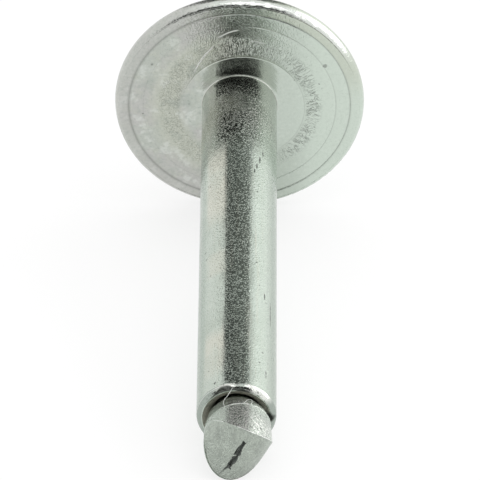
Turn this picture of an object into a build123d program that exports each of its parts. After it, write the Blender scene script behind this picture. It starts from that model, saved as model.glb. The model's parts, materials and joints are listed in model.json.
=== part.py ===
from build123d import *
from math import asin, atan2, cos, degrees, hypot, radians, sin, sqrt, tan
import os

# A large flange blind rivet of zinc plated steel, 4.8 x 32 with a 16 mm flange, not yet set.
# It lies as it comes to rest, on the rim of its flange and the side of its mandrel head,
# with the blind end towards -Y. The origin is on the shank's axis, in the flange's bearing
# face. Lengths are in millimetres, and heights run along the axis from the bearing face,
# positive towards the blind end.

# Sleeve
sleeve_d = 4.8
sleeve_length = 32.4
bore_d = 2.95
nose_radius = 0.35
mouth_d = 3.35
mouth_dish = 0.24
mouth_throat = 0.3

# Flange
flange_d = 16.0
rim_thickness = 1.15
rim_bulge = 0.25
dome_rise = 0.95
shank_fillet = 0.12
entry_d = 3.7
entry_depth = 0.35

# Rings that the heading die left on the bearing face
die_ring_diameters = [14.2, 12.36, 7.4]
die_ring_width = 0.16
die_ring_depth = 0.05

# Mandrel stem
stem_d = 2.75
stem_protrusion = 27.0
point_length = 2.6
point_tip_d = 1.3
neck_d = 2.05
neck_length = 0.9
neck_distance = 2.4

# Mandrel head
head_d = 4.1
head_rim_d = 3.96
head_gap = 1.1
head_seat_depth = 0.45
head_step_d = 3.7
head_step_gap = 0.4
head_rim_skew = 8.5
barrel_length = 2.9
mandrel_shift = 0.06
head_shift = 0.1

# Pinched ridge that ends the head
ridge_height = 3.67
ridge_half_width = 2.15
ridge_half_depth = 3.05
ridge_turn = 27.0
ridge_slope = 1.5
ridge_round = 0.08

# Crack along the crest: each lobe runs between two points, given along and across the crest
crack_lobes = [((1.25, 0.24), (0.0, 0.04), 0.2), ((0.1, 0.05), (-1.15, -0.05), 0.28)]
crack_depth = 0.5

# Heights and radii that follow from the sizes above
sleeve_r = sleeve_d / 2
flange_r = flange_d / 2
rim_r = flange_r - rim_bulge
rim_middle = -rim_thickness / 2
dome_top = -rim_thickness - dome_rise
dome_r = (rim_r**2 + dome_rise**2) / (2 * dome_rise)
stem_r = stem_d / 2
stem_end = dome_top - stem_protrusion
head_r = head_d / 2
head_rim_r = head_rim_d / 2
head_base = sleeve_length + head_gap
head_seat = sleeve_length - head_seat_depth
ridge_top = sleeve_length + ridge_height
barrel_start = head_base - head_d * sin(radians(head_rim_skew))
barrel_top = head_base + barrel_length
belly_height = (barrel_start + barrel_top) / 2

# The rest is the line that touches the rounded rim below and the rounded foot of the ridge
rim_round = (rim_bulge**2 + rim_middle**2) / (2 * rim_bulge)
barrel_bulge = head_r - head_rim_r
barrel_round = ((barrel_top - belly_height) ** 2 + barrel_bulge**2) / (2 * barrel_bulge)
foot_across = head_r * sin(radians(ridge_turn))
foot_along = head_r * cos(radians(ridge_turn))
foot_drop = ridge_half_depth * (1 - sqrt(1 - (foot_across / ridge_half_width) ** 2))
foot_height = ridge_top - foot_drop - foot_along * tan(radians(ridge_slope)) - ridge_round
foot_r = head_r - barrel_round + sqrt(barrel_round**2 - (foot_height - belly_height) ** 2)
rest_span = foot_height - rim_middle
rest_fall = (flange_r - rim_round) - (foot_r - ridge_round)
rest_tilt = degrees(atan2(rest_fall, rest_span) + asin((rim_round - ridge_round) / hypot(rest_fall, rest_span)))

axis_dir = Vector(0, -cos(radians(rest_tilt)), -sin(radians(rest_tilt)))
upward = Vector(0, -sin(radians(rest_tilt)), cos(radians(rest_tilt)))
sideways = Vector(1, 0, 0)


def section_plane(shift):
    """Half section plane: X is the height along the axis, Y is the radius."""
    return Plane(origin=sideways * shift, x_dir=axis_dir, z_dir=-sideways)


def cross_plane(shift, height):
    """Plane across the axis at a height, its X pointing up."""
    return Plane(origin=sideways * shift + axis_dir * height, x_dir=upward, z_dir=axis_dir)


def turning_axis(shift):
    return Axis(sideways * shift, axis_dir)


# Flange and sleeve, headed from one piece
with BuildPart() as rivet_body:
    with BuildSketch(section_plane(0)) as outer_profile:
        with BuildLine():
            Line((dome_top, 0), (sleeve_length, 0))
            Line((sleeve_length, 0), (sleeve_length, sleeve_r))
            Line((sleeve_length, sleeve_r), (0, sleeve_r))
            Line((0, sleeve_r), (0, rim_r))
            ThreePointArc((0, rim_r), (rim_middle, flange_r), (-rim_thickness, rim_r))
            RadiusArc((-rim_thickness, rim_r), (dome_top, 0), -dome_r)
        make_face()
        nose_corner = outer_profile.vertices().sort_by_distance((sleeve_length, sleeve_r))[0]
        fillet(nose_corner, nose_radius)
        root_corner = outer_profile.vertices().sort_by_distance((0, sleeve_r))[0]
        fillet(root_corner, shank_fillet)
        for ring_d in die_ring_diameters:
            inner_edge = (ring_d - die_ring_width) / 2
            outer_edge = (ring_d + die_ring_width) / 2
            Polygon((0, inner_edge), (-die_ring_depth, ring_d / 2), (0, outer_edge), align=None, mode=Mode.SUBTRACT)
    revolve(axis=turning_axis(0))

    # Bore, with a dished mouth at the blind end and a chamfered entry in the dome
    with BuildSketch(section_plane(0)):
        with BuildLine():
            Polyline(
                (dome_top, 0),
                (dome_top, entry_d / 2),
                (dome_top + entry_depth, bore_d / 2),
                (sleeve_length - mouth_dish - mouth_throat, bore_d / 2),
                (sleeve_length - mouth_dish, mouth_d / 2),
                (sleeve_length, sleeve_r - nose_radius),
                (sleeve_length, 0),
                close=True,
            )
        make_face()
    revolve(axis=turning_axis(0), mode=Mode.SUBTRACT)

# Mandrel: a nail headed from wire, its end pinched to a cracked ridge
with BuildPart() as mandrel:
    # Barrel of the head, a little fuller at its belly
    with BuildSketch(section_plane(head_shift)):
        with BuildLine():
            Line((barrel_start, 0), (barrel_start, head_rim_r))
            ThreePointArc((barrel_start, head_rim_r), (belly_height, head_r), (barrel_top, head_rim_r))
            Line((barrel_top, head_rim_r), (barrel_top, 0))
            Line((barrel_top, 0), (barrel_start, 0))
        make_face()
    revolve(axis=turning_axis(head_shift))

    # The rim is skewed, as the two dies did not meet squarely
    rim_centre = sideways * head_shift + axis_dir * head_base
    rim_normal = axis_dir * cos(radians(head_rim_skew)) + sideways * sin(radians(head_rim_skew))
    rim_plane = Plane(origin=rim_centre, x_dir=upward, z_dir=rim_normal)
    split(bisect_by=rim_plane, keep=Keep.TOP)

    # The crest runs along ridge_dir, and the end is its arched section
    ridge_flat = upward * cos(radians(ridge_turn)) + sideways * sin(radians(ridge_turn))
    ridge_dir = ridge_flat * cos(radians(ridge_slope)) + axis_dir * sin(radians(ridge_slope))
    ridge_across = axis_dir.cross(ridge_flat)
    crest = sideways * head_shift + axis_dir * ridge_top
    with BuildSketch(Plane(origin=crest, x_dir=ridge_across, z_dir=ridge_dir)):
        with BuildLine():
            EllipticalCenterArc((0, -ridge_half_depth), ridge_half_width, ridge_half_depth, 0, arc_size=180)
            Polyline(
                (-ridge_half_width, -ridge_half_depth),
                (-ridge_half_width, -2 * ridge_half_depth),
                (ridge_half_width, -2 * ridge_half_depth),
                (ridge_half_width, -ridge_half_depth),
            )
        make_face()
    extrude(amount=head_d, both=True, mode=Mode.INTERSECT)
    upper_edges = mandrel.edges().filter_by(lambda edge: edge.center().dot(axis_dir) > head_base + head_gap / 2)
    fillet(upper_edges.filter_by(GeomType.BSPLINE), ridge_round)

    # Underside of the head, in two slopes down to the stem
    rim_face = mandrel.faces().sort_by(turning_axis(0))[0]
    with BuildSketch(cross_plane(mandrel_shift, sleeve_length + head_step_gap), mode=Mode.PRIVATE) as step_section:
        Circle(head_step_d / 2)
    with BuildSketch(cross_plane(mandrel_shift, head_seat), mode=Mode.PRIVATE) as seat_section:
        Circle(stem_r)
    loft(sections=[rim_face, step_section.sketch.face(), seat_section.sketch.face()], ruled=True)

    # Stem with its breaking neck inside the sleeve and its pointed tail
    with BuildSketch(section_plane(mandrel_shift)):
        with BuildLine():
            Polyline(
                (head_seat, 0),
                (head_seat, stem_r),
                (head_seat - neck_distance, stem_r),
                (head_seat - neck_distance - neck_length / 2, neck_d / 2),
                (head_seat - neck_distance - neck_length, stem_r),
                (stem_end + point_length, stem_r),
                (stem_end, point_tip_d / 2),
                (stem_end, 0),
                close=True,
            )
        make_face()
    revolve(axis=turning_axis(mandrel_shift))

    # Crack, cut along the crest and open above it
    with BuildSketch(Plane(origin=crest, x_dir=ridge_dir, z_dir=ridge_dir.cross(ridge_across))):
        for start, end, width in crack_lobes:
            middle = ((start[0] + end[0]) / 2, (start[1] + end[1]) / 2)
            lobe_length = hypot(end[0] - start[0], end[1] - start[1])
            side = ((start[1] - end[1]) / lobe_length * width / 2, (end[0] - start[0]) / lobe_length * width / 2)
            with BuildLine():
                ThreePointArc(start, (middle[0] + side[0], middle[1] + side[1]), end)
                ThreePointArc(end, (middle[0] - side[0], middle[1] - side[1]), start)
            make_face()
    extrude(amount=crack_depth, both=True, mode=Mode.SUBTRACT)

rivet_body.part.label = "rivet_body"
mandrel.part.label = "mandrel"
os.makedirs("parts", exist_ok=True)
export_step(rivet_body.part, "parts/rivet_body.step")
export_step(mandrel.part, "parts/mandrel.step")
print("lies at", round(rest_tilt, 3), "degrees")
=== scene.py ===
import bpy
import json
from math import atan2, cos, degrees, hypot, pi, radians, sin, sqrt, tan
from mathutils import Matrix, Vector, noise


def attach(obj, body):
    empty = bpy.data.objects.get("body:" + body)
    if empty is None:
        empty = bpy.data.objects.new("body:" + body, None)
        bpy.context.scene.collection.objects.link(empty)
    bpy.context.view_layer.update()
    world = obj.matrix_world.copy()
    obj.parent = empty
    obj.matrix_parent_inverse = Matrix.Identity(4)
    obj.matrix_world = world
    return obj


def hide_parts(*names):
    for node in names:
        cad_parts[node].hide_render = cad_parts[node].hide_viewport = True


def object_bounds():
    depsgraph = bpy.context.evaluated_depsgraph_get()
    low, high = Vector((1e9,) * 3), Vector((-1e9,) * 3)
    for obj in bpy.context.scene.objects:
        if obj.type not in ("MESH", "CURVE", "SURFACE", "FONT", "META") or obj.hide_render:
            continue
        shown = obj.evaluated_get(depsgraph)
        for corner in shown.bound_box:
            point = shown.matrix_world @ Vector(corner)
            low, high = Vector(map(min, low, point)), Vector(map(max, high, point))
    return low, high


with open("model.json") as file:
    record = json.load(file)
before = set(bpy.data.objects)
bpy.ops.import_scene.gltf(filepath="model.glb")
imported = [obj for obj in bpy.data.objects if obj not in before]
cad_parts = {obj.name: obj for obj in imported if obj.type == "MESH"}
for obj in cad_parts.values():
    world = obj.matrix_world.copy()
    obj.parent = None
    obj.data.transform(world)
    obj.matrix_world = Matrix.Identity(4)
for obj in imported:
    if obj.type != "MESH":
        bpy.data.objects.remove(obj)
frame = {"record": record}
cadLow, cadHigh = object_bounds()
mm = 0.001
shankMount = next(mount for mount in frame["record"]["mounts"] if mount["name"] == "shank")
shankAxis = Vector(shankMount["axis"])
layTurn = atan2(-shankAxis.y, shankAxis.z)  # turns a piece from upright, blind end up, to how it lies
floorHeight = cadLow.z
print("frame loaded, pieces turn", round(degrees(layTurn), 1), "degrees from upright")


# Helpers for turned work, which is modelled upright along Z and laid down at the end

def pick(*pieces):
    # selects the pieces and makes the last one active
    bpy.ops.object.select_all(action="DESELECT")
    for piece in pieces:
        piece.select_set(True)
    bpy.context.view_layer.objects.active = pieces[-1]


def startRing(name, height, radius, sides):
    bpy.ops.object.select_all(action="DESELECT")
    bpy.ops.mesh.primitive_circle_add(vertices=sides, radius=radius * mm, location=(0, 0, height * mm))
    piece = bpy.context.object
    piece.name = name
    piece.data.name = name
    bpy.ops.object.transform_apply(location=True)
    bpy.ops.object.mode_set(mode="EDIT")
    bpy.ops.mesh.select_all(action="SELECT")
    return piece


def drawRings(profile):
    height, radius = profile[0]
    for nextHeight, nextRadius in profile[1:]:
        step = (0, 0, (nextHeight - height) * mm)
        bpy.ops.mesh.extrude_region_move(TRANSFORM_OT_translate={"value": step})
        grow = nextRadius / radius
        bpy.ops.transform.resize(value=(grow, grow, 1), center_override=(0, 0, nextHeight * mm))
        height, radius = nextHeight, nextRadius


def arcPoints(centre, radius, startAngle, endAngle, steps):
    # heights and radii on an arc; angle 0 points away from the axis, 90 up the axis
    points = []
    for step in range(steps + 1):
        angle = radians(startAngle + (endAngle - startAngle) * step / steps)
        points.append((centre[0] + radius * sin(angle), centre[1] + radius * cos(angle)))
    return points


def tidyMesh(mergeDistance=None):
    # in edit mode: merges doubles where a distance is given, and turns the faces outward
    bpy.ops.mesh.select_all(action="SELECT")
    if mergeDistance:
        bpy.ops.mesh.remove_doubles(threshold=mergeDistance * mm)
    bpy.ops.mesh.normals_make_consistent(inside=False)
    bpy.ops.object.mode_set(mode="OBJECT")


def layDown(piece):
    bpy.ops.object.mode_set(mode="OBJECT")
    pick(piece)
    piece.rotation_euler = (layTurn, 0, 0)
    bpy.ops.object.transform_apply(location=True, rotation=True, scale=True)


def smoothStep(low, high, value):
    share = min(1, max(0, (value - low) / (high - low)))
    return share * share * (3 - 2 * share)


# Helpers for materials

def addNode(tree, kind, inputs=None, **settings):
    made = tree.nodes.new(kind)
    for key, value in settings.items():
        setattr(made, key, value)
    for key, value in (inputs or {}).items():
        if isinstance(value, bpy.types.NodeSocket):
            tree.links.new(value, made.inputs[key])
        else:
            made.inputs[key].default_value = value
    return made


def doMath(tree, operation, *values):
    return addNode(tree, "ShaderNodeMath", dict(enumerate(values)), operation=operation).outputs[0]


def mapRange(tree, value, low, high, toLow=0.0, toHigh=1.0, kind="SMOOTHSTEP"):
    values = {"Value": value, "From Min": low, "From Max": high, "To Min": toLow, "To Max": toHigh}
    return addNode(tree, "ShaderNodeMapRange", values, interpolation_type=kind).outputs["Result"]


class Finish:
    # a metal finish in the making, painted layer on layer with the colours of a palette;
    # its places are in millimetres, with z along the rivet

    def __init__(self, name, palette, firstColour, roughness, metallic=1.0):
        self.material = bpy.data.materials.new(name)
        self.material.use_nodes = True
        self.tree = self.material.node_tree
        self.shader = self.tree.nodes["Principled BSDF"]
        self.set("Metallic", metallic)
        self.set("Roughness", roughness)
        place = addNode(self.tree, "ShaderNodeTexCoord").outputs["Object"]
        self.spot = self.mapped(place, Rotation=(-layTurn, 0, 0), Scale=(1 / mm, 1 / mm, 1 / mm))
        self.x, self.y, self.z = self.split(self.spot)
        self.palette = palette
        self.colour = palette[firstColour]
        self.normal = None

    def set(self, name, value):
        if isinstance(value, bpy.types.NodeSocket):
            self.tree.links.new(value, self.shader.inputs[name])
        else:
            self.shader.inputs[name].default_value = value

    def mapped(self, place, **turns):
        return addNode(self.tree, "ShaderNodeMapping", {"Vector": place, **turns}).outputs["Vector"]

    def split(self, place):
        parts = addNode(self.tree, "ShaderNodeSeparateXYZ", {"Vector": place}).outputs
        return parts["X"], parts["Y"], parts["Z"]

    def join(self, x=0.0, y=0.0, z=0.0):
        return addNode(self.tree, "ShaderNodeCombineXYZ", {"X": x, "Y": y, "Z": z}).outputs[0]

    def vector(self, operation, *values):
        made = addNode(self.tree, "ShaderNodeVectorMath", dict(enumerate(values)), operation=operation)
        return made.outputs["Value" if operation in ("LENGTH", "DISTANCE") else "Vector"]

    def math(self, operation, *values):
        return doMath(self.tree, operation, *values)

    def times(self, first, *others):
        for other in others:
            first = self.math("MULTIPLY", first, other)
        return first

    def largest(self, first, second):
        return self.math("MAXIMUM", first, second)

    def apart(self, first, second):
        return self.math("ABSOLUTE", self.math("SUBTRACT", first, second))

    def ramp(self, value, low, high, toLow=0.0, toHigh=1.0):
        return mapRange(self.tree, value, low, high, toLow, toHigh)

    def band(self, value, start, full, fading, end):
        # 0 up to start, 1 from full to fading, and 0 from end on
        return self.times(self.ramp(value, start, full), self.ramp(value, fading, end, 1, 0))

    def blend(self, share, first, second):
        return addNode(self.tree, "ShaderNodeMix", {0: share, 2: first, 3: second}).outputs[0]

    def noise(self, scale, detail=2.0, roughness=0.5, distortion=0.0, at=None):
        values = {"Vector": self.spot if at is None else at, "Scale": scale}
        values |= {"Detail": detail, "Roughness": roughness, "Distortion": distortion}
        return addNode(self.tree, "ShaderNodeTexNoise", values).outputs["Fac"]

    def specks(self, scale, low, high, share):
        # scattered dots, full up to the low distance from their middles and gone at the high one
        values = {"Vector": self.spot, "Scale": scale, "Randomness": 1.0}
        away = addNode(self.tree, "ShaderNodeTexVoronoi", values).outputs["Distance"]
        return self.ramp(away, low, high, share, 0)

    def paint(self, share, colourName):
        values = {0: share, 6: self.colour, 7: self.palette[colourName]}
        self.colour = addNode(self.tree, "ShaderNodeMix", values, data_type="RGBA").outputs[2]

    def bump(self, height, distance, strength=1.0):
        values = {"Height": height, "Strength": strength, "Distance": distance * mm}
        if self.normal is not None:
            values["Normal"] = self.normal
        self.normal = addNode(self.tree, "ShaderNodeBump", values).outputs["Normal"]

    def done(self):
        self.set("Base Color", self.colour)
        self.set("Normal", self.normal)
        return self.material


# Finish of the sleeve and the flange

rivetFinish = {
    "lightZinc": (0.55, 0.615, 0.55, 1),
    "freshZinc": (0.60, 0.675, 0.60, 1),
    "greyZinc": (0.50, 0.53, 0.485, 1),
    "warmZinc": (0.545, 0.57, 0.495, 1),
    "pinkZinc": (0.59, 0.59, 0.55, 1),
    "creamZinc": (0.64, 0.645, 0.56, 1),
    "sandZinc": (0.53, 0.56, 0.465, 1),
    # colour of the painted shade on the sleeve
    "sleeveShadeZinc": (0.335, 0.405, 0.34, 1),
    "mauveZinc": (0.515, 0.52, 0.495, 1),
    "mossZinc": (0.46, 0.52, 0.455, 1),
    "darkZinc": (0.16, 0.17, 0.155, 1),
    "dullZinc": (0.36, 0.405, 0.365, 1),
    "brightScratch": (0.97, 0.98, 0.95, 1),
    # rubbed zinc, also the colour of the painted highlight on the flange's rim
    "wornZincAndHighlight": (0.70, 0.73, 0.69, 1),
    # colour of the painted highlights on the nose and the head
    "paintedHighlightZinc": (0.80, 0.82, 0.77, 1),
    # colour of the painted shade at the nose's lip and the painted shadow beside the mouth
    "paintedShade": (0.03, 0.033, 0.028, 1),
    "mouthSteel": (0.42, 0.405, 0.35, 1),
    "sleeveRoughness": 0.17,
    "flangeRoughness": 0.17,
    "creaseDepth": 0.0112,
    "paintedShadow": (1.92, 0.05, 32.3),  # middle of the painted shadow beside the mouth
    "noseHairline": 32.15,  # height of a bright line round the nose
    "edgeLine": 7.665,  # radius of the painted shade line in the groove at the flange's edge
    "rimHighlightFrom": 7.69,  # radius from which the rim gets its painted highlight
    # pale patches on the sleeve: height, half length, share
    "creamPatches": [(11.3, 4.4, 0.9), (19.6, 1.4, 0.6), (28.6, 2.4, 0.9)],
    # dark marks on the sleeve: x, height, half width, half length
    "marks": [
        (1.64, 22.6, 0.035, 0.35), (2.0, 23.9, 0.03, 1.2), (1.74, 30.3, 0.04, 0.4),
        (1.54, 28.35, 0.05, 0.08), (1.35, 29.5, 0.04, 0.07), (-1.3, 31.6, 0.06, 0.1),
        (-1.99, 17.7, 0.06, 0.09), (-1.91, 18.5, 0.05, 0.07), (1.14, 19.6, 0.05, 0.07),
        (1.32, 21.8, 0.04, 0.06), (1.5, 7.9, 0.04, 0.25), (1.3, 8.7, 0.05, 0.35),
        (1.12, 9.5, 0.045, 0.3), (0.98, 10.1, 0.05, 0.2), (1.17, 12.2, 0.05, 0.09),
    ],
    # painted shade in the die rings: radius, half width, darkness left and right
    "shadedRings": [(7.1, 0.17, 0.24, 0.05), (7.1, 0.06, 0.28, 0.35), (6.18, 0.05, 0.1, 0.2)],
    # dark spots on the flange: x, y, radius
    "spots": [
        (5.43, 3.19, 0.16), (5.07, 1.78, 0.06), (-5.61, 3.17, 0.09),
        (-6.19, -0.66, 0.06), (-4.52, -0.6, 0.06),
    ],
    # arc-shaped scratches on the flange: centre, radius, where along X they run, and strength
    "scratches": [
        ((2.94, 0.45, 0), 6.243, -2.99, -1.6, 1),
        ((0.41, 3.22, 0), 2.722, -1.47, -0.02, 0.9),
        ((0.23, -0.13, 0), 3.94, -3.1, 0.9, 0.15),
        ((0, 0, 0), 5.1, 0.6, 1.6, 0.4),
    ],
}


def sleeveMarks(zinc):
    marked = 0.0
    flat = zinc.join(zinc.x, zinc.z)
    for markX, markHeight, halfWidth, halfLength in rivetFinish["marks"]:
        away = zinc.vector("SUBTRACT", flat, (markX, markHeight, 0))
        away = zinc.vector("MULTIPLY", away, (1 / halfWidth, 1 / halfLength, 0))
        marked = zinc.largest(marked, zinc.ramp(zinc.vector("LENGTH", away), 0.6, 1.3, 1, 0))
    upperSide = zinc.math("GREATER_THAN", zinc.y, 0.0)
    marked = zinc.times(marked, upperSide, zinc.ramp(zinc.noise(4, 2, 0.6), 0.3, 0.5, 0.3, 0.9))
    return zinc.largest(marked, zinc.specks(0.9, 0.04, 0.07, 0.6))


def sleeveZinc():
    zinc = Finish("sleeveZinc", rivetFinish, "lightZinc", rivetFinish["sleeveRoughness"])
    cloudy = zinc.noise(0.45, 3, 0.6)
    streaks = zinc.noise(3.2, 4, 0.65, at=zinc.mapped(zinc.spot, Scale=(1, 1, 0.05)))
    patchy = zinc.noise(1.0, 3, 0.6, at=zinc.mapped(zinc.spot, Scale=(0.6, 0.6, 0.25)))
    # cloudy tints, rosy near the flange and with cream patches on the left
    zinc.paint(zinc.ramp(cloudy, 0.35, 0.65, 0, 0.7), "mossZinc")
    zinc.paint(zinc.ramp(streaks, 0.5, 0.75, 0, 0.6), "warmZinc")
    zinc.paint(zinc.ramp(zinc.z, 3, 9, 0.8, 0), "pinkZinc")
    cream = 0.1
    for height, halfLength, share in rivetFinish["creamPatches"]:
        away = zinc.apart(zinc.z, height)
        cream = zinc.largest(cream, zinc.ramp(away, halfLength * 0.5, halfLength * 1.2, share, 0))
    leftOfMiddle = zinc.band(zinc.x, -2.1, -1.8, -0.9, -0.6)
    cream = zinc.times(cream, leftOfMiddle, zinc.ramp(patchy, 0.35, 0.55, 0.5, 1))
    zinc.paint(cream, "creamZinc")
    moss = zinc.times(zinc.ramp(zinc.x, 1.0, 1.6, 0, 0.6), zinc.ramp(zinc.z, 4, 9, 0.3, 1))
    zinc.paint(moss, "mossZinc")
    # painted shade, darker towards both outlines of the sleeve
    edges = zinc.ramp(zinc.math("ABSOLUTE", zinc.x), 1.85, 2.25, 0, 0.8)
    zinc.paint(zinc.times(edges, zinc.ramp(zinc.z, 4, 10, 0.2, 1)), "sleeveShadeZinc")
    # marks, painted shade on the left side, and a painted shade stripe down the middle near both ends
    dirt = sleeveMarks(zinc)
    zinc.paint(dirt, "darkZinc")
    # painted shade on the left side
    dull = zinc.times(zinc.ramp(zinc.x, -2.4, -1.6, 0.8, 0), zinc.ramp(zinc.z, 9, 22))
    zinc.paint(dull, "sleeveShadeZinc")
    # painted shade deepening the dark reflection down the middle of the sleeve near both ends
    middleShade = zinc.ramp(zinc.apart(zinc.x, -0.1), 0.4, 1.1, 0.25, 0)
    bothEnds = zinc.largest(zinc.ramp(zinc.z, 22, 30), zinc.ramp(zinc.z, 2.5, 5.5, 1.5, 0))
    zinc.paint(zinc.times(middleShade, bothEnds), "darkZinc")
    # orange peel, deeper where the metal is wrinkled on the right near the flange
    crinkle = zinc.ramp(zinc.noise(9.8, 1.0, 0.6), 0.52, 0.69)
    wrinkled = zinc.times(zinc.band(zinc.z, 3, 4.5, 7, 9), zinc.ramp(zinc.x, -0.2, 0.5))
    crinkle = zinc.times(crinkle, zinc.ramp(zinc.z, 0.5, 1.3, 0.4, 1), zinc.ramp(wrinkled, 0, 1, 1, 1.9))
    zinc.bump(crinkle, rivetFinish["creaseDepth"])
    zinc.bump(zinc.noise(1.8, 3, 0.55, 0.3), 0.014)
    zinc.bump(streaks, 0.03, 0.3)
    zinc.bump(dirt, -0.03, 0.6)
    usual = rivetFinish["sleeveRoughness"]
    rough = zinc.ramp(cloudy, 0.3, 0.7, usual - 0.04, usual + 0.04)
    rough = zinc.times(rough, zinc.ramp(zinc.z, 6.5, 8.5, 0.6, 1))
    zinc.set("Roughness", zinc.math("MULTIPLY_ADD", wrinkled, 0.1, rough))
    return zinc.done()


def tintFlange(zinc, mottled):
    # greyer and blotchy on the left, fresher on the right
    left = zinc.ramp(zinc.x, -2, 1.5, 1, 0)
    patches = zinc.noise(0.35, 3, 0.6, at=zinc.vector("ADD", zinc.spot, (7, 3, 1)))
    smudges = zinc.noise(0.8, 3, 0.65, at=zinc.vector("ADD", zinc.spot, (2, 9, 4)))
    dusty = zinc.noise(4.5, 4, 0.75)
    roundShank = zinc.band(zinc.radius, 3.4, 4.2, 5.0, 6.2)
    zinc.paint(zinc.ramp(zinc.x, -6, 5), "lightZinc")
    zinc.paint(zinc.ramp(zinc.x, 3.2, 5.5), "freshZinc")
    zinc.paint(zinc.times(left, zinc.ramp(patches, 0.45, 0.6)), "mauveZinc")
    zinc.paint(zinc.times(left, roundShank), "warmZinc")
    zinc.paint(zinc.times(left, zinc.ramp(mottled, 0.45, 0.7, 0, 0.5)), "warmZinc")
    zinc.paint(zinc.times(left, zinc.ramp(smudges, 0.52, 0.68, 0, 0.4)), "dullZinc")
    zinc.paint(zinc.times(left, zinc.ramp(smudges, 0.46, 0.32, 0, 0.5)), "wornZincAndHighlight")
    lower = zinc.ramp(zinc.y, -4.5, -2, 1, 0)
    shade = zinc.times(zinc.ramp(zinc.x, 2.2, 4.8, 0.8, 0), lower, zinc.ramp(zinc.x, 0, 2))
    zinc.paint(shade, "mossZinc")
    outerBand = zinc.ramp(zinc.radius, 7.1, 7.16)
    upperRight = zinc.times(zinc.ramp(zinc.x, 0.5, 2.5, 0, 0.55), zinc.ramp(zinc.y, 0, 3))
    zinc.paint(zinc.times(outerBand, upperRight), "sandZinc")
    zinc.paint(zinc.times(outerBand, zinc.ramp(zinc.x, -4.5, -1.5, 0.6, 0)), "mauveZinc")
    dust = zinc.times(zinc.ramp(dusty, 0.5, 0.7), zinc.ramp(zinc.x, -1, 3, 0.55, 0.2))
    zinc.paint(dust, "dullZinc")
    zinc.paint(zinc.ramp(dusty, 0.48, 0.32, 0, 0.25), "wornZincAndHighlight")


def markFlange(zinc, rightward):
    # painted shade in the rings and along the edge, scratches, a painted highlight on the rim, and spots;
    # gives back how scratched it is
    # painted shade along the die rings and the innermost ring
    for shadedRadius, halfWidth, leftShare, rightShare in rivetFinish["shadedRings"]:
        line = zinc.ramp(zinc.apart(zinc.radius, shadedRadius), halfWidth * 0.3, halfWidth, 1, 0)
        share = zinc.times(line, zinc.ramp(rightward, 0, 1, leftShare, rightShare), zinc.bearingSide)
        zinc.paint(share, "darkZinc")
    innerRingShade = zinc.ramp(zinc.math("ABSOLUTE", zinc.fromInnerRing), 0.02, 0.05, 0.15, 0)
    innerRingShade = zinc.times(innerRingShade, zinc.ramp(zinc.x, 2.0, 3.2), zinc.bearingSide)
    zinc.paint(innerRingShade, "darkZinc")
    scratched = 0.0
    upperSide = zinc.times(zinc.math("GREATER_THAN", zinc.y, 0.0), zinc.bearingSide)
    for centre, scratchRadius, low, high, strength in rivetFinish["scratches"]:
        away = zinc.apart(zinc.vector("DISTANCE", zinc.across, centre), scratchRadius)
        length = zinc.times(zinc.band(zinc.x, low, low + 0.25, high - 0.25, high), upperSide)
        scratch = zinc.times(length, zinc.ramp(away, 0.02, 0.06, strength, 0))
        zinc.paint(scratch, "brightScratch")
        scratched = zinc.largest(scratched, scratch)
    # painted shade along the groove at the flange's edge
    edge = zinc.ramp(zinc.apart(zinc.radius, rivetFinish["edgeLine"]), 0.008, 0.032, 0.85, 0)
    edge = zinc.times(edge, zinc.ramp(zinc.y, 2.5, 5), zinc.ramp(zinc.noise(4, 3, 0.7), 0.38, 0.5))
    edge = zinc.times(edge, zinc.ramp(zinc.x, -5, -1, 0.2, 1), zinc.bearingSide)
    zinc.paint(edge, "darkZinc")
    # painted highlight on the rim's upper part, fading out on the left
    rimHighlightFrom = rivetFinish["rimHighlightFrom"]
    worn = zinc.times(zinc.ramp(zinc.radius, rimHighlightFrom, rimHighlightFrom + 0.03), zinc.ramp(zinc.x, -4.5, 0))
    zinc.paint(zinc.times(worn, zinc.ramp(zinc.y, 3, 5), zinc.bearingSide), "wornZincAndHighlight")
    spotted = zinc.specks(0.55, 0.02, 0.05, 0.4)
    ragged = zinc.noise(6, 2, 0.6)
    for spotX, spotY, spotRadius in rivetFinish["spots"]:
        away = zinc.vector("DISTANCE", zinc.across, (spotX, spotY, 0))
        away = zinc.math("MULTIPLY_ADD", ragged, 0.16, away)
        spot = zinc.ramp(away, spotRadius * 0.6 + 0.08, spotRadius + 0.1, 0.6, 0)
        spotted = zinc.largest(spotted, spot)
    zinc.paint(spotted, "darkZinc")
    return scratched


def flangeFolds(zinc):
    # folds round the shank: radial on top, curly on the right and wormlike on the left
    direction = zinc.vector("NORMALIZE", zinc.across)
    polar = zinc.vector("MULTIPLY", direction, (5, 5, 5))
    radial = zinc.vector("ADD", polar, zinc.join(z=zinc.times(zinc.radius, 0.35)))
    folds = zinc.noise(7.5, 1, 0.6, 0.4, at=radial)
    curly = zinc.noise(4.6, 1.5, 0.6, 0.9, at=radial)
    folds = zinc.blend(zinc.ramp(zinc.x, 1.4, 2.4), folds, curly)
    folds = zinc.blend(zinc.ramp(zinc.x, -2.8, -1.4), zinc.noise(6, 2, 0.6, 0.3), folds)
    creases = zinc.ramp(zinc.apart(folds, 0.5), 0.0, 0.07)
    # how far they show: outside the innermost ring, and more in some directions than in others
    shown = zinc.times(zinc.ramp(zinc.fromInnerRing, 0.0, 0.3), zinc.ramp(zinc.radius, 4.9, 5.5, 1, 0))
    patchy = zinc.ramp(zinc.noise(0.4, 2, at=polar), 0.35, 0.55, 0.4, 1)
    return creases, zinc.times(shown, zinc.bearingSide, patchy)


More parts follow.
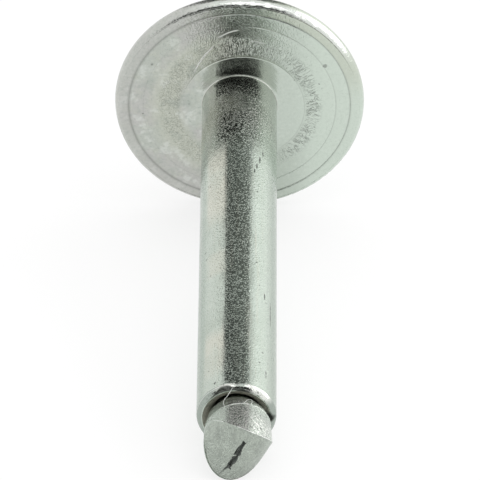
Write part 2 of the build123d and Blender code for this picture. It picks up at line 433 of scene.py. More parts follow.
def flangeZinc():
    zinc = Finish("flangeZinc", rivetFinish, "greyZinc", rivetFinish["flangeRoughness"])
    zinc.across = zinc.join(zinc.x, zinc.y)
    zinc.radius = zinc.vector("LENGTH", zinc.across)
    (ringX, ringY), ringRadius = rivetSizes["innerRing"]
    away = zinc.vector("DISTANCE", zinc.across, (ringX, ringY, 0))
    zinc.fromInnerRing = zinc.math("SUBTRACT", away, ringRadius)
    zinc.bearingSide = zinc.ramp(zinc.z, -0.5, -0.3)  # keeps the marks off the domed side
    mottled = zinc.noise(1.6, 4, 0.65)
    tintFlange(zinc, mottled)
    rightward = zinc.ramp(zinc.x, -1, 3)
    scratched = markFlange(zinc, rightward)
    creases, shown = flangeFolds(zinc)
    # painted shade along the creases of the folds
    foldShade = zinc.times(zinc.math("SUBTRACT", 1.0, creases), shown, zinc.ramp(rightward, 0, 1, 0.2, 0.5))
    zinc.paint(foldShade, "darkZinc")
    # folds, turning marks and a fine grain
    outside = zinc.ramp(zinc.fromInnerRing, -0.05, 0.15)
    zinc.bump(zinc.times(creases, shown, zinc.ramp(zinc.x, -3, -1.2, 0.45, 1)), 0.024)
    turned = zinc.noise(1.0, 5, 0.65, at=zinc.join(zinc.times(zinc.radius, 3.0)))
    zinc.bump(zinc.times(turned, zinc.ramp(outside, 0, 1, 0.5, 1)), 0.014)
    sanded = zinc.ramp(zinc.noise(0.5, 3, 0.6), 0.35, 0.6, 0.35, 1)
    zinc.bump(zinc.times(zinc.ramp(zinc.noise(8.0, 1, 0.6), 0.46, 0.62), sanded, outside), 0.0045)
    usual = rivetFinish["flangeRoughness"]
    rough = zinc.ramp(mottled, 0.3, 0.7, -0.04, 0.06)
    rough = zinc.math("ADD", rough, zinc.ramp(outside, 0, 1, usual - 0.05, usual))
    zinc.set("Roughness", zinc.math("MULTIPLY_ADD", scratched, 0.45, rough))
    return zinc.done()


def paintedShadowShare(zinc):
    # painted shadow beside the mouth, between the head and the sleeve's end
    away = zinc.vector("DISTANCE", zinc.spot, rivetFinish["paintedShadow"])
    return zinc.ramp(zinc.math("MULTIPLY_ADD", zinc.noise(3, 2), 0.3, away), 0.38, 0.62, 1, 0)


def noseZinc():
    # the rounded end of the sleeve, rubbed smooth, with painted highlights, painted shade in the middle and
    # at the lip, and a painted shadow beside the mouth
    zinc = Finish("noseZinc", rivetFinish, "dullZinc", 0.14)
    worn = zinc.noise(1.1, 2, 0.6)
    radius = zinc.vector("LENGTH", zinc.join(zinc.x, zinc.y))
    zinc.paint(zinc.ramp(zinc.x, -1.6, -1.0), "greyZinc")
    zinc.paint(zinc.ramp(zinc.x, 0.0, 0.3), "dullZinc")
    # painted shade in the middle of the nose, between its painted highlights
    middle = zinc.ramp(zinc.noise(3.5, 2, 0.6), 0.35, 0.6, 0.9, 0.3)
    zinc.paint(zinc.times(zinc.band(zinc.x, -0.3, -0.05, 0.3, 0.55), middle), "darkZinc")
    # painted highlights left and right of the middle
    bright = zinc.largest(zinc.band(zinc.x, -1.1, -0.6, -0.35, 0.0), zinc.ramp(zinc.x, 0.35, 0.7))
    bright = zinc.times(bright, zinc.ramp(worn, 0.25, 0.45, 0.5, 1), zinc.ramp(zinc.y, 0.9, 1.5))
    zinc.paint(bright, "paintedHighlightZinc")
    leftEdge = zinc.times(zinc.ramp(radius, 2.085, 2.115, 1, 0), zinc.ramp(zinc.x, -0.3, 0.1, 1, 0))
    # painted shade at the lip, wider on the left
    wide = zinc.ramp(zinc.x, -1.6, -0.9, 0, 0.24)
    wide = zinc.math("SUBTRACT", wide, zinc.ramp(zinc.x, -0.6, 0.1, 0, 0.18))
    lipShade = zinc.ramp(zinc.math("SUBTRACT", radius, wide), 2.1, 2.17, 1, 0)
    lipShade = zinc.times(lipShade, zinc.ramp(zinc.noise(5, 2, 0.6), 0.35, 0.6, 1, 0.88))
    lipShade = zinc.times(lipShade, zinc.math("SUBTRACT", 1.0, leftEdge))
    lipShade = zinc.times(lipShade, zinc.ramp(zinc.x, 0.6, 1.3, 1, 0), zinc.ramp(zinc.y, 0.8, 1.6))
    # the painted shade at the lip and the painted shadow beside the mouth, also made dull
    dirt = zinc.largest(lipShade, paintedShadowShare(zinc))
    zinc.paint(dirt, "paintedShade")
    clean = zinc.math("SUBTRACT", 1.0, dirt)
    zinc.set("Metallic", clean)
    zinc.set("Specular IOR Level", zinc.times(clean, 0.5))
    zinc.paint(leftEdge, "lightZinc")
    hairline = zinc.ramp(zinc.apart(zinc.z, rivetFinish["noseHairline"]), 0.006, 0.018, 0.6, 0)
    zinc.paint(zinc.times(hairline, zinc.ramp(zinc.x, -1.2, -0.8, 1, 0)), "brightScratch")
    zinc.bump(worn, 0.13)
    zinc.bump(zinc.ramp(zinc.noise(6, 1, 0.6, 1), 0.45, 0.6), 0.006)
    return zinc.done()


def mouthSteel():
    # the sheared end of the sleeve and the bore, thinly plated
    steel = Finish("mouthSteel", rivetFinish, "mouthSteel", 0.55, metallic=0.7)
    grain = steel.noise(4.0, 4, 0.65)
    steel.paint(steel.ramp(grain, 0.45, 0.8), "darkZinc")
    # painted shadow beside the mouth
    steel.paint(paintedShadowShare(steel), "paintedShade")
    steel.bump(grain, 0.05, 0.8)
    return steel.done()


# Sleeve and flange, headed from one piece

rivetSizes = {
    "sides": 480,
    "sleeveRadius": 2.4,
    "sleeveLength": 32.4,
    "sleeveRings": 44,
    "noseRadius": 0.35,
    "mouthRadius": 1.675,
    "mouthDish": 0.24,
    "mouthThroat": 0.3,
    "boreRadius": 1.475,
    "shankFillet": 0.07,
    "flangeRadius": 7.99,
    "rimRadius": 7.74,
    "rimThickness": 1.15,
    "domeRise": 0.95,
    "domeRings": 24,
    "entryRadius": 1.8,
    "entryDepth": 0.3,
    "dieRings": [(3.7, 0.035, 0.012), (6.18, 0.05, 0.025), (7.1, 0.065, 0.04)],  # radius, half width, depth
    "innerRing": ((0.23, -0.13), 3.94),  # where the innermost ring really is, as it is off centre
    "nickDepth": 0.06,
    # bands of nicks round the rim: height, half width, share of the depth
    "nickBands": [(-0.02, 0.08, 0.3), (-0.2, 0.16, 1.1), (-1.1, 0.3, 1)],
    # fine and coarse nicks: scale, share and shift of the noise
    "nickNoise": [(8000, 0.7, (0, 0, 0)), (3500, 0.5, (7, 3, 5))],
    # rings worn away on the left: radii, depth kept there, and where along X it comes back
    "wornRings": [(5.9, 6.4, 0.12, -0.5, 3), (6.9, 7.3, 0.5, -1, 3)],
    "innerZone": (2.62, 5.3),  # radii between which the face moves with the innermost ring
    "smoothAngle": 38,
}

# section of a die ring: offset as a share of its half width, and share of its depth
dieRingSection = [(-1.15, 0), (-0.85, 0.1), (-0.3, 0.9), (0, 1), (0.3, 0.9), (0.85, 0.1), (1.15, 0)]
# section of the flange's edge, as heights and radii: a small groove and bead, then the way down the rim
edgeSection = [
    (0, 7.635), (-0.02, 7.66), (-0.024, 7.675), (-0.01, 7.70), (-0.012, 7.715),
    (-0.04, 7.757), (-0.1, 7.82), (-0.16, 7.873), (-0.22, 7.918),
]


def faceProfile():
    # the bearing face from the fillet to the edge, with its die rings
    plain = [2.62, 2.8, 3.1, 3.4, 4.1, 4.5, 4.9, 5.3, 5.7, 6.5, 6.8, 7.3, 7.4, 7.5, 7.6]
    face = [(radius, 0) for radius in plain]
    for ringRadius, half, deep in rivetSizes["dieRings"]:
        face += [(ringRadius + offset * half, depth * deep) for offset, depth in dieRingSection]
    return [(-depth, radius) for radius, depth in sorted(face)]


def rivetProfile():
    # heights and radii, from inside the mouth over the sleeve and the flange, and back through the bore
    sizes = rivetSizes
    top = sizes["sleeveLength"]
    dish = top - sizes["mouthDish"]
    noseCentre = (top - sizes["noseRadius"], sizes["sleeveRadius"] - sizes["noseRadius"])
    points = [(dish - sizes["mouthThroat"], sizes["boreRadius"])]
    points += [(dish - 0.1, sizes["mouthRadius"] - 0.06), (dish, sizes["mouthRadius"])]
    points += [(top - sizes["mouthDish"] * 0.6, sizes["mouthRadius"] + 0.15)]
    points += [(top - 0.02, noseCentre[1] - 0.03)]
    points += arcPoints(noseCentre, sizes["noseRadius"], 90, 0, 12)
    for ring in range(1, sizes["sleeveRings"]):
        height = noseCentre[0] + (sizes["shankFillet"] - noseCentre[0]) * ring / sizes["sleeveRings"]
        points.append((height, sizes["sleeveRadius"]))
    rootCentre = (sizes["shankFillet"], sizes["sleeveRadius"] + sizes["shankFillet"])
    points += arcPoints(rootCentre, -sizes["shankFillet"], 0, 90, 5)
    points += faceProfile() + edgeSection
    middle = sizes["rimThickness"] / 2
    bulge = sizes["flangeRadius"] - sizes["rimRadius"]
    rimRound = (bulge**2 + middle**2) / (2 * bulge)
    rimAngle = degrees(atan2(middle, rimRound - bulge))
    points += arcPoints((-middle, sizes["flangeRadius"] - rimRound), rimRound, 22, -rimAngle, 12)
    domeRound = (sizes["rimRadius"]**2 + sizes["domeRise"]**2) / (2 * sizes["domeRise"])
    domeCentre = domeRound - sizes["rimThickness"] - sizes["domeRise"]
    span = sizes["entryRadius"] - sizes["rimRadius"]
    for ring in range(1, sizes["domeRings"] + 1):
        radius = sizes["rimRadius"] + span * ring / sizes["domeRings"]
        points.append((domeCentre - sqrt(domeRound**2 - radius**2), radius))
    entry = points[-1][0]
    boreStart = entry + sizes["entryDepth"]
    points += [(entry + sizes["entryDepth"] / 2, (sizes["entryRadius"] + sizes["boreRadius"]) / 2)]
    boreRings = 8
    for ring in range(boreRings):
        points.append((boreStart + (points[0][0] - boreStart) * ring / boreRings, sizes["boreRadius"]))
    points.append(points[0])
    return points


def nickRim(vertex, height, radius):
    sizes = rivetSizes
    edge = 0
    for middle, half, share in sizes["nickBands"]:
        edge = max(edge, smoothStep(half, 0, abs(height - middle)) * share)
    nick = 0
    for scale, share, shift in sizes["nickNoise"]:
        nick += noise.noise(vertex.co * scale + Vector(shift)) * share
    bite = edge * max(0, nick) * sizes["nickDepth"]
    bite *= 0.35 + 0.65 * smoothStep(-6 * mm, 0, vertex.co.x)  # fewer on the left
    vertex.co.x *= 1 - bite / radius
    vertex.co.y *= 1 - bite / radius
    if height > -0.5:
        vertex.co.z -= bite * 0.8 * mm


def moveInnerRing(vertex, radius):
    (ringX, ringY), ringRadius = rivetSizes["innerRing"]
    turnedRadius = rivetSizes["dieRings"][0][0]
    low, high = rivetSizes["innerZone"]
    if low < radius < high:
        share = min(1, radius - low, (high - radius) / 1.5)
        grow = 1 + share * (ringRadius / turnedRadius - 1)
        vertex.co.x = vertex.co.x * grow + ringX * share * mm
        vertex.co.y = vertex.co.y * grow + ringY * share * mm


def wearFlange(piece):
    # nicks in the rim, rings worn away on the left, and the innermost ring moved off centre
    for vertex in piece.data.vertices:
        height = vertex.co.z / mm
        radius = hypot(vertex.co.x, vertex.co.y) / mm
        if radius > 7.6 and height > -1.5:
            nickRim(vertex, height, radius)
        elif abs(height) < 0.06:
            for low, high, kept, start, end in rivetSizes["wornRings"]:
                if low < radius < high:
                    vertex.co.z *= kept + (1 - kept) * smoothStep(start * mm, end * mm, vertex.co.x)
            moveInnerRing(vertex, radius)


def makeRivetBody():
    sizes = rivetSizes
    profile = rivetProfile()
    piece = startRing("rivetBody", *profile[0], sizes["sides"])
    drawRings(profile)
    tidyMesh(0.002)
    wearFlange(piece)
    for finish in (sleeveZinc(), flangeZinc(), mouthSteel(), noseZinc()):
        piece.data.materials.append(finish)
    for face in piece.data.polygons:
        radius = hypot(face.center.x, face.center.y) / mm
        if radius > 2.45:
            face.material_index = 1
        elif radius < sizes["sleeveRadius"] - sizes["noseRadius"] + 0.02:
            face.material_index = 2
        elif face.center.z > (sizes["sleeveLength"] - sizes["noseRadius"]) * mm:
            face.material_index = 3
    layDown(piece)
    bpy.ops.object.shade_smooth_by_angle(angle=radians(sizes["smoothAngle"]))
    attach(piece, "root")
    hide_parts("rivet_body")
    print("rivet body made,", len(piece.data.polygons), "faces")


# Mandrel: stem, neck and the pinched, cracked head

mandrelSizes = {
    "sides": 256,
    "stemRadius": 1.375,
    "stemEnd": -29.1,
    "stemRings": 30,
    "pointLength": 2.6,
    "pointTip": 0.65,
    "neckRadius": 1.025,
    "neckLength": 0.9,
    "neckDistance": 2.4,
    "seatHeight": 31.95,
    "stepHeight": 32.8,
    "stepRadius": 1.85,
    "rimHeight": 33.5,
    "rimRadius": 1.98,
    "bellyRadius": 2.043,
    "rimSlope": -0.149,
    "topHeight": 36.4,
    "barrelRings": 35,
    "endRings": 64,
    "rimBead": 0.03,
    "edgeFlash": 0.035,
    "edgeRounding": 0.065,
    "burr": 0.016,  # height of the burr round the crack
    "stemShift": 0.06,
    "headShift": 0.10,
    "smoothAngle": 32,
    "ridgeTop": 36.055,
    "ridgeHalfWidth": 2.15,
    "ridgeHalfDepth": 3.05,
    "ridgeTurn": 27.0,
    "ridgeSlope": 1.5,
    # the cutter of the crack starts above the ridge and narrows in steps: depth, share of the width
    "crackStart": 0.3,
    "crackSteps": [(0.34, 1.0), (0.22, 0.93), (0.22, 0.8)],
}

# outline of the crack, in millimetres along and across the crest
crackOutline = [
    (1.228, -0.25), (1.12, -0.266), (1.0, -0.24), (0.87, -0.245), (0.77, -0.268), (0.66, -0.293),
    (0.48, -0.31), (0.31, -0.302), (0.14, -0.292), (0.03, -0.29), (-0.04, -0.28), (0.05, -0.11),
    (0.0, -0.095), (-0.16, -0.27), (-0.27, -0.25), (-0.34, -0.229), (-0.44, -0.252), (-0.54, -0.263),
    (-0.61, -0.235), (-0.71, -0.256), (-0.8, -0.257), (-0.95, -0.225), (-1.15, -0.256), (-1.35, -0.275),
    (-1.56, -0.29), (-1.78, -0.31), (-1.56, -0.262), (-1.35, -0.235), (-1.15, -0.13), (-1.07, -0.04),
    (-1.13, 0.04), (-1.12, 0.12), (-1.037, 0.08), (-0.98, 0.017), (-0.89, 0.019), (-0.79, 0.047),
    (-0.7, 0.049), (-0.587, 0.101), (-0.49, 0.119), (-0.32, 0.113), (-0.23, 0.114), (-0.15, 0.10),
    (-0.08, 0.061), (-0.01, 0.02), (0.06, 0.07), (0.118, 0.11), (0.205, 0.108), (0.28, 0.083),
    (0.35, 0.047), (0.51, 0.025), (0.59, 0.001), (0.75, -0.02), (0.93, -0.016), (1.106, -0.009),
    (1.215, 0.004), (1.13, -0.09), (1.187, -0.168),
]

headFinish = {
    "paleZinc": (0.53, 0.585, 0.52, 1),
    "greyZinc": (0.48, 0.52, 0.47, 1),
    "mauveZinc": (0.44, 0.435, 0.415, 1),
    "brightSwarf": (0.95, 0.97, 0.94, 1),
    "endPale": (0.53, 0.585, 0.515, 1),
    "endGrey": (0.315, 0.345, 0.31, 1),
    # colour of the painted shade inside the crack
    "crackShadeSteel": (0.17, 0.185, 0.17, 1),
    "crackPale": (0.30, 0.32, 0.30, 1),
    "roughness": 0.27,
}

hairSizes = {
    "radius": 0.0125,
    "curls": [
        [(-0.249, 2.289, 32.42), (-0.425, 2.205, 32.75), (-0.542, 2.173, 33.05), (-0.653, 2.216, 33.3),
         (-0.729, 2.273, 33.5), (-0.792, 2.079, 33.62), (-0.726, 1.954, 33.7)],
        [(0.44, 1.97, 33.46), (0.56, 2.06, 33.38), (0.68, 2.12, 33.3), (0.82, 2.13, 33.28),
         (0.93, 2.08, 33.34), (0.93, 2.0, 33.42), (0.87, 1.9, 33.5)],
    ],
}


def headZinc():
    # the barrel of the head: mottled, mossy on the left and with a painted highlight on the right
    palette = {**rivetFinish, **headFinish}
    zinc = Finish("headZinc", palette, "paleZinc", headFinish["roughness"])
    speckle = zinc.noise(12, 1, 0.6)
    zinc.paint(zinc.ramp(zinc.noise(0.9, 3, 0.6), 0.4, 0.65), "greyZinc")
    stain = zinc.times(zinc.band(zinc.x, -0.8, -0.3, 0.6, 1.0), zinc.ramp(speckle, 0.4, 0.65, 0.3, 1))
    zinc.paint(stain, "mauveZinc")
    zinc.paint(zinc.ramp(zinc.x, -1.3, -0.6, 0.9, 0), "mossZinc")
    # painted highlight on the right of the barrel
    bright = zinc.times(zinc.ramp(zinc.x, 0.7, 1.1), zinc.ramp(zinc.noise(7, 1, 0.6), 0.45, 0.6, 0, 0.8))
    zinc.paint(zinc.times(bright, zinc.ramp(zinc.z, 33.9, 34.7)), "paintedHighlightZinc")
    pits = zinc.ramp(zinc.noise(5, 3, 0.65), 0.58, 0.66)
    zinc.paint(zinc.times(pits, 0.6), "darkZinc")
    zinc.bump(zinc.times(zinc.ramp(speckle, 0.45, 0.65), zinc.ramp(zinc.x, 0.4, 1.0, 1, 1.5)), 0.016)
    zinc.bump(zinc.noise(2.2, 2, 0.6), 0.025)
    return zinc.done()


def swarfZinc():
    # torn flash and swarf: rough and bright
    zinc = Finish("swarfZinc", headFinish, "brightSwarf", 0.5)
    grain = zinc.noise(9, 2, 0.6)
    zinc.paint(zinc.ramp(grain, 0.5, 0.75), "greyZinc")
    zinc.bump(grain, 0.02, 0.5)
    return zinc.done()


def endZinc():
    # the pinched end, with flow lines that bend along the crack
    zinc = Finish("pinchedEndZinc", headFinish, "endPale", headFinish["roughness"] + 0.1)
    turned = zinc.mapped(zinc.spot, Rotation=(0, 0, radians(mandrelSizes["ridgeTurn"])))
    across, along = zinc.split(turned)[:2]
    bend = zinc.math("MULTIPLY_ADD", zinc.times(along, along), 0.14, across)
    flow = zinc.noise(16, 2, 0.6, 0.1, at=zinc.join(bend, zinc.times(along, 0.16)))
    grain = zinc.noise(12, 1, 0.6)
    zinc.paint(zinc.ramp(zinc.noise(1.3, 4, 0.65), 0.35, 0.75, 0.1, 0.8), "endGrey")
    # painted shade, darker towards the lower side of the end
    zinc.paint(zinc.ramp(zinc.y, -2.2, 0.3, 0.65, 0), "endGrey")
    zinc.paint(zinc.ramp(flow, 0.5, 0.62), "paleZinc")
    zinc.paint(zinc.ramp(grain, 0.48, 0.66, 0, 0.6), "endGrey")
    zinc.bump(zinc.ramp(flow, 0.42, 0.58), 0.02)
    zinc.bump(grain, 0.05)
    return zinc.done()


def stemZinc():
    zinc = Finish("stemZinc", rivetFinish, "lightZinc", 0.34)
    zinc.paint(zinc.ramp(zinc.noise(0.5, 3, 0.6), 0.38, 0.62), "greyZinc")
    zinc.bump(zinc.noise(4, 4, 0.65, at=zinc.mapped(zinc.spot, Scale=(1, 1, 0.04))), 0.05, 0.4)
    zinc.bump(zinc.noise(7, 2, 0.6), 0.03, 0.2)
    return zinc.done()


def crackShadeSteel():
    # dark walls: painted shade inside the crack, with a paler grain
    steel = Finish("crackShadeSteel", headFinish, "crackShadeSteel", 0.9, metallic=0.2)
    steel.set("Specular IOR Level", 0.1)
    grain = steel.noise(9, 3, 0.7)
    steel.paint(grain, "crackPale")
    steel.bump(grain, 0.06, 0.8)
    return steel.done()


def onCrest(x, y):
    # along and across the crest of the ridge
    turn = radians(mandrelSizes["ridgeTurn"])
    x -= mandrelSizes["headShift"]
    return x * sin(turn) + y * cos(turn), x * cos(turn) - y * sin(turn)


def endHeight(x, y):
    sizes = mandrelSizes
    along, across = onCrest(x, y)
    share = min(1, abs(across) / sizes["ridgeHalfWidth"])
    drop = sizes["ridgeHalfDepth"] * (1 - sqrt(1 - share**2))
    return sizes["ridgeTop"] + along * tan(radians(sizes["ridgeSlope"])) - drop


def barrelRadius(height):
    sizes = mandrelSizes
    middle = (sizes["rimHeight"] + sizes["topHeight"]) / 2
    rise = (height - middle) / (sizes["topHeight"] - middle)
    return sizes["bellyRadius"] - (sizes["bellyRadius"] - sizes["rimRadius"]) * rise**2


def crackDistance(along, across):
    # distance to the crack's outline, negative inside it
    nearest = 9.0
    inside = False
    for index, (ax, ay) in enumerate(crackOutline):
        bx, by = crackOutline[(index + 1) % len(crackOutline)]
        lx, ly = bx - ax, by - ay
        share = max(0, min(1, ((along - ax) * lx + (across - ay) * ly) / (lx * lx + ly * ly)))
        nearest = min(nearest, hypot(along - ax - share * lx, across - ay - share * ly))
        if (ay > across) != (by > across) and along < lx * (across - ay) / ly + ax:
            inside = not inside
    return -nearest if inside else nearest


def raggedness(x, y):
    return noise.noise(Vector((x, y, 1)) * 2.5)


def flashShare(x):
    # the torn flash along the end's upper edge comes in stretches, and the left end has none
    gap = smoothStep(-0.95, -0.8, x) * smoothStep(0.0, -0.1, x)
    faint = smoothStep(0.85, 0.95, x) * smoothStep(1.55, 1.45, x)
    return smoothStep(-1.6, -1.3, x) * (1 - 0.9 * gap - 0.4 * faint)


def makeCrackCutter():
    # a tapering prism in the shape of the crack
    sizes = mandrelSizes
    bpy.ops.object.select_all(action="DESELECT")
    bpy.ops.mesh.primitive_circle_add(vertices=len(crackOutline), radius=mm, fill_type="NGON")
    cutter = bpy.context.object
    cutter.name = "crackCutter"
    turn = radians(sizes["ridgeTurn"])
    top = (sizes["ridgeTop"] + sizes["crackStart"]) * mm
    for vertex, (along, across) in zip(cutter.data.vertices, crackOutline):
        x = along * sin(turn) + across * cos(turn) + sizes["headShift"]
        y = along * cos(turn) - across * sin(turn)
        vertex.co = (x * mm, y * mm, top)
    bpy.ops.object.mode_set(mode="EDIT")
    bpy.ops.mesh.select_all(action="SELECT")
    for step, narrow in sizes["crackSteps"]:
        bpy.ops.mesh.extrude_region_move(TRANSFORM_OT_translate={"value": (0, 0, -step * mm)})
        bpy.ops.transform.resize(value=(narrow, narrow, 1), center_override=(0.09 * mm, -0.03 * mm, 0))
    tidyMesh()
    cutter.data.materials.append(crackShadeSteel())
    return cutter


def makeHair(path):
    # a curl of swarf, given as (x, y, height) in millimetres
    bpy.ops.object.select_all(action="DESELECT")
    bpy.ops.curve.primitive_nurbs_path_add(location=(0, 0, 0))
    hair = bpy.context.object
    hair.data.splines.clear()
    spline = hair.data.splines.new("NURBS")
    spline.points.add(len(path) - 1)
    for point, place in zip(spline.points, path):
        point.co = (*(value * mm for value in place), 1)
    spline.use_endpoint_u = True
    spline.order_u = 3
    spline.resolution_u = 6
    hair.data.bevel_depth = hairSizes["radius"] * mm
    hair.data.bevel_resolution = 2
    hair.data.use_fill_caps = True
    bpy.ops.object.convert(target="MESH")
    hair.data.materials.append(bpy.data.materials["swarfZinc"])
    bpy.ops.object.mode_set(mode="EDIT")
    tidyMesh(0.001)
    return hair


def mandrelProfile():
    # heights and radii, from the pointed tail up to the seat, up the barrel and in over the end
    sizes = mandrelSizes
    tail, stem, tip = sizes["stemEnd"], sizes["stemRadius"], sizes["pointTip"]
    stemStart = tail + sizes["pointLength"] + 0.1
    neckTop = sizes["seatHeight"] - sizes["neckDistance"]
    neckStart = neckTop - sizes["neckLength"]
    profile = [(tail, tip * 0.05), (tail, tip * 0.9), (tail + 0.06, tip)]
    profile += [(tail + sizes["pointLength"] - 0.1, stem - 0.03), (stemStart, stem)]
    for ring in range(1, sizes["stemRings"]):
        profile.append((stemStart + (neckStart - stemStart) * ring / sizes["stemRings"], stem))
    neckMiddle = neckTop - sizes["neckLength"] / 2
    profile += [(neckStart, stem), (neckMiddle, sizes["neckRadius"]), (neckTop, stem)]
    profile += [(sizes["seatHeight"] - 1.2, stem), (sizes["seatHeight"], stem)]
    profile += [(sizes["stepHeight"], sizes["stepRadius"])]
    rimHeight, rimRadius = sizes["rimHeight"], sizes["rimRadius"]
    profile += [(rimHeight - 0.05, rimRadius - 0.05), (rimHeight - 0.015, rimRadius - 0.005)]
    last = sizes["barrelRings"] - 1
    shares = [0, 0.008, 0.017, 0.027, 0.042]
    shares += [0.06 + 0.9 * ring / last for ring in range(sizes["barrelRings"])]
    shares += [0.975, 0.986, 0.994, 1]
    for share in shares:
        profile.append((rimHeight + (sizes["topHeight"] - rimHeight) * share, rimRadius))
    for ring in range(1, sizes["endRings"]):
        profile.append((sizes["topHeight"], rimRadius * (1 - ring / sizes["endRings"])))
    return profile


def dressMandrel(piece):
    # the end, the torn flash at its upper edge, the rim's bead, and the rest of the head
    sizes = mandrelSizes
    for finish in (stemZinc(), headZinc(), endZinc(), swarfZinc()):
        piece.data.materials.append(finish)
    for face in piece.data.polygons:
        x, y, height = (value / mm for value in face.center)
        ragged = raggedness(x, y)
        up = (height - sizes["rimHeight"]) / (sizes["topHeight"] - sizes["rimHeight"])
        if up > 0.999:
            face.material_index = 2
        elif up > 0.975 and ragged * 0.5 + flashShare(x) > 0.4 and y > 0.5:
            face.material_index = 3
        elif abs(up - 0.012) < 0.006 and ragged > -0.1:
            face.material_index = 3
        elif height > sizes["stepHeight"] - 0.1:
            face.material_index = 1


def pinchEnd(x, y, soft):
    # a point of the end face, moved onto the ridge: how far out it goes, and its height
    sizes = mandrelSizes
    height = endHeight(x + sizes["headShift"], y)
    out = hypot(x, y) / sizes["rimRadius"]
    grow = 1 + (barrelRadius(height) / sizes["rimRadius"] - 1) * out**2
    grow -= soft / sizes["rimRadius"] * smoothStep(0.9, 1, out)
    along, across = onCrest(x + sizes["headShift"], y)
    if abs(along) < 2 and abs(across) < 0.6:
        torn = 0.6 + 0.8 * noise.noise(Vector((along * 3, across * 5, 2)))
        height += smoothStep(0.12, 0.02, crackDistance(along, across)) * torn * sizes["burr"]
    height += noise.noise(Vector((x, y, 5)) * 1.4) * 0.02 * (1 - out)
    height -= soft * 0.6 * smoothStep(0.95, 1, out)
    return grow, height


def swellBarrel(x, y, height, soft):
    # a point of the barrel or its rim, between the skewed rim and the ridge
    sizes = mandrelSizes
    ragged = raggedness(x, y)
    low = sizes["rimHeight"] + sizes["rimSlope"] * x
    high = endHeight(x + sizes["headShift"], y)
    up = max(0, (height - sizes["rimHeight"]) / (sizes["topHeight"] - sizes["rimHeight"]))
    height = low + (high - low) * up - max(0, sizes["rimHeight"] - height)
    bead = sizes["rimBead"] * max(0, 1 - ((up - 0.012) / 0.022)**2) * (1 + 0.8 * ragged)
    flash = sizes["edgeFlash"] * smoothStep(0.022, 0.008, 1 - up) * flashShare(x)
    flash *= smoothStep(-0.3, 0.1, ragged) * smoothStep(-0.4, 0.2, y)
    radius = barrelRadius(height) + bead + flash - soft * smoothStep(0.035, 0, 1 - up)
    return radius / sizes["rimRadius"], height


def shapeHead(piece):
    # the head is shifted, its rim skewed, its belly swollen and its end pinched to a ridge
    sizes = mandrelSizes
    for vertex in piece.data.vertices:
        x, y, height = (value / mm for value in vertex.co)
        if height < sizes["rimHeight"] - 0.05:
            share = smoothStep(sizes["seatHeight"], sizes["rimHeight"], height)
            x += sizes["stemShift"] + (sizes["headShift"] - sizes["stemShift"]) * share
        else:
            soft = smoothStep(-0.4, 0.6, -y) * sizes["edgeRounding"]  # rounded below and sharp on top
            if height > sizes["topHeight"] - 0.001:
                grow, height = pinchEnd(x, y, soft)
            else:
                grow, height = swellBarrel(x, y, height, soft)
            x, y = x * grow + sizes["headShift"], y * grow
        vertex.co = (x * mm, y * mm, height * mm)


def cutCrack(piece):
    cutter = makeCrackCutter()
    pick(piece)
    cut = piece.modifiers.new("crack", "BOOLEAN")
    cut.operation = "DIFFERENCE"
    cut.solver = "EXACT"
    cut.object = cutter
    cut.material_mode = "TRANSFER"
    bpy.ops.object.modifier_apply(modifier="crack")
    bpy.data.objects.remove(cutter)


def makeMandrel():
    profile = mandrelProfile()
    piece = startRing("mandrelNail", *profile[0], mandrelSizes["sides"])
    drawRings(profile)
    bpy.ops.mesh.edge_face_add()
    bpy.ops.mesh.select_all(action="DESELECT")
    bpy.ops.mesh.select_non_manifold()
    bpy.ops.mesh.edge_face_add()
    tidyMesh()
    dressMandrel(piece)
    shapeHead(piece)
    cutCrack(piece)
    pick(*[makeHair(path) for path in hairSizes["curls"]], piece)
    bpy.ops.object.join()
    layDown(piece)
    bpy.ops.object.shade_smooth_by_angle(angle=radians(mandrelSizes["smoothAngle"]))
    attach(piece, "root")
    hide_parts("mandrel")
    print("mandrel made,", len(piece.data.polygons), "faces")


makeRivetBody()
makeMandrel()


# Camera, at the photograph's angle

cameraView = {
    "pitch": 36.42,  # between the line of sight and the rivet's axis
    "roll": 0.55,
    "offset": (-0.03, -8.59, 384.7),  # the rivet's origin as the camera sees it, in mm: right, down and away
    "lens": 450,
    "sensorWidth": 36,
}


def makeCamera():
    pitch, roll = radians(cameraView["pitch"]), radians(cameraView["roll"])
    up = Vector((0, shankAxis.z, -shankAxis.y))
    ahead = -cos(pitch) * shankAxis - sin(pitch) * up
    down = sin(pitch) * shankAxis - cos(pitch) * up
    side = Vector((1, 0, 0))
    right = cos(roll) * side - sin(roll) * down
    below = sin(roll) * side + cos(roll) * down
    offRight, offDown, away = cameraView["offset"]
    place = -(offRight * right + offDown * below + away * ahead) * mm
    data = bpy.data.cameras.new("camera")
    data.lens = cameraView["lens"]
    data.sensor_width = cameraView["sensorWidth"]
    data.clip_start = 0.02
    data.clip_end = 20
    camera = bpy.data.objects.new("camera", data)
    bpy.context.scene.collection.objects.link(camera)
    turn = Matrix((right, -below, -ahead)).transposed()
    camera.matrix_world = Matrix.Translation(place) @ turn.to_4x4()
    bpy.context.scene.camera = camera


makeCamera()
print("camera set")


# Studio: pale floor, white surround, soft lamps and dark cards that only the metal sees

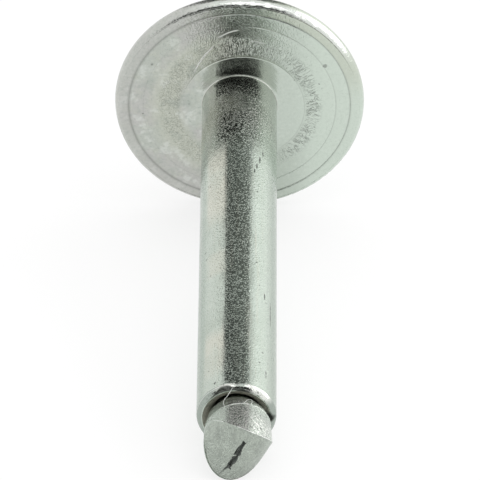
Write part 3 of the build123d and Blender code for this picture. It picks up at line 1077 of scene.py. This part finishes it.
studio = {
    "floorSize": 6.0,
    "floorColour": (0.98, 0.98, 0.98, 1),
    "floorShadow": 0.3,  # how much of the floor's look is its own shading
    "surround": 0.95,
    "cardRadius": 0.7,
    "cardSteps": 24,
    "cardColour": (0.96, 1, 0.96, 1),
    # cards: tones of the left and right edge, angles from the front floor over the top, and both edges
    # as shares of the radius
    "cards": {
        "overheadCard": ((0.06, 0.19), (117, 168), (-0.42, 0.385)),
        "frontCard": ((0.02, 0.02), (-4, 43), (-0.9, 0.62)),
    },
    # lamps: direction, distance, size and brightness
    "lamps": {
        "rightLamp": ((0.88, 0.22, 0.42), 1.2, (1.35, 0.9), 1.1),
        "topFrontLamp": ((0.22, -0.34, 0.9), 1.2, (1.2, 0.55), 0.9),
        "rightBackLamp": ((0.62, 0.72, 0.3), 1.2, (0.9, 0.6), 0.25),
    },
}


def makeFloor():
    bpy.ops.object.select_all(action="DESELECT")
    bpy.ops.mesh.primitive_plane_add(size=studio["floorSize"], location=(0, 0, floorHeight))
    floor = bpy.context.object
    floor.name = "floor"
    material = bpy.data.materials.new("paleFloor")
    material.use_nodes = True
    tree = material.node_tree
    tree.nodes.remove(tree.nodes["Principled BSDF"])
    rays = addNode(tree, "ShaderNodeLightPath").outputs
    seen = doMath(tree, "MAXIMUM", rays["Is Camera Ray"], rays["Is Glossy Ray"])
    seen = doMath(tree, "MAXIMUM", seen, rays["Is Transmission Ray"])
    shade = addNode(tree, "ShaderNodeBsdfDiffuse", {"Color": studio["floorColour"]}).outputs[0]
    glow = addNode(tree, "ShaderNodeEmission", {"Color": (1, 1, 1, 1), "Strength": 1.0}).outputs[0]
    share = doMath(tree, "MULTIPLY", seen, 1 - studio["floorShadow"])
    mixed = addNode(tree, "ShaderNodeMixShader", {0: share, 1: shade, 2: glow}).outputs[0]
    tree.links.new(mixed, tree.nodes["Material Output"].inputs["Surface"])
    floor.data.materials.append(material)


def makeSurround():
    world = bpy.data.worlds.new("surround")
    bpy.context.scene.world = world
    world.use_nodes = True
    tree = world.node_tree
    rays = addNode(tree, "ShaderNodeLightPath").outputs
    seen = doMath(tree, "MAXIMUM", rays["Is Camera Ray"], rays["Is Glossy Ray"])
    level = mapRange(tree, seen, 0, 1, studio["surround"], 1.0, kind="LINEAR")
    back = tree.nodes["Background"]
    back.inputs["Color"].default_value = (1, 1, 1, 1)
    tree.links.new(level, back.inputs["Strength"])


def cardCloth(name, tones, left, right):
    # black cloth with a faint glow that changes from its left to its right edge
    material = bpy.data.materials.new(name + "Cloth")
    material.use_nodes = True
    tree = material.node_tree
    shader = tree.nodes["Principled BSDF"]
    shader.inputs["Base Color"].default_value = (0, 0, 0, 1)
    shader.inputs["Roughness"].default_value = 1.0
    shader.inputs["Specular IOR Level"].default_value = 0.0
    shader.inputs["Emission Color"].default_value = studio["cardColour"]
    place = addNode(tree, "ShaderNodeTexCoord").outputs["Object"]
    sideways = addNode(tree, "ShaderNodeSeparateXYZ", {"Vector": place}).outputs["X"]
    tone = mapRange(tree, sideways, left, right, *tones, kind="LINEAR")
    tree.links.new(tone, shader.inputs["Emission Strength"])
    return material


def makeCard(name, tones, angles, edges):
    # a curved card round the rivet
    radius = studio["cardRadius"]
    startAngle, endAngle = angles
    left, right = edges
    bpy.ops.object.select_all(action="DESELECT")
    bpy.ops.mesh.primitive_grid_add(x_subdivisions=4, y_subdivisions=studio["cardSteps"], size=2)
    card = bpy.context.object
    card.name = name
    for vertex in card.data.vertices:
        angle = radians(startAngle + (endAngle - startAngle) * (vertex.co.y + 1) / 2)
        sideways = left + (right - left) * (vertex.co.x + 1) / 2
        vertex.co = (sideways * radius, -cos(angle) * radius, sin(angle) * radius)
    card.data.materials.append(cardCloth(name, tones, left * radius, right * radius))
    card.visible_camera = False
    card.visible_diffuse = False
    card.visible_shadow = False


def makeLamp(name, direction, distance, size, brightness):
    data = bpy.data.lights.new(name, "AREA")
    data.shape = "RECTANGLE"
    data.size, data.size_y = size
    data.energy = brightness * pi * size[0] * size[1]
    lamp = bpy.data.objects.new(name, data)
    bpy.context.scene.collection.objects.link(lamp)
    lamp.location = Vector(direction).normalized() * distance
    lamp.rotation_euler = (-Vector(direction)).to_track_quat("-Z", "Y").to_euler()
    lamp.visible_camera = False


makeFloor()
makeSurround()
for name, values in studio["cards"].items():
    makeCard(name, *values)
for name, values in studio["lamps"].items():
    makeLamp(name, *values)
print("studio made")

bpy.context.scene.view_settings.view_transform = "Standard"
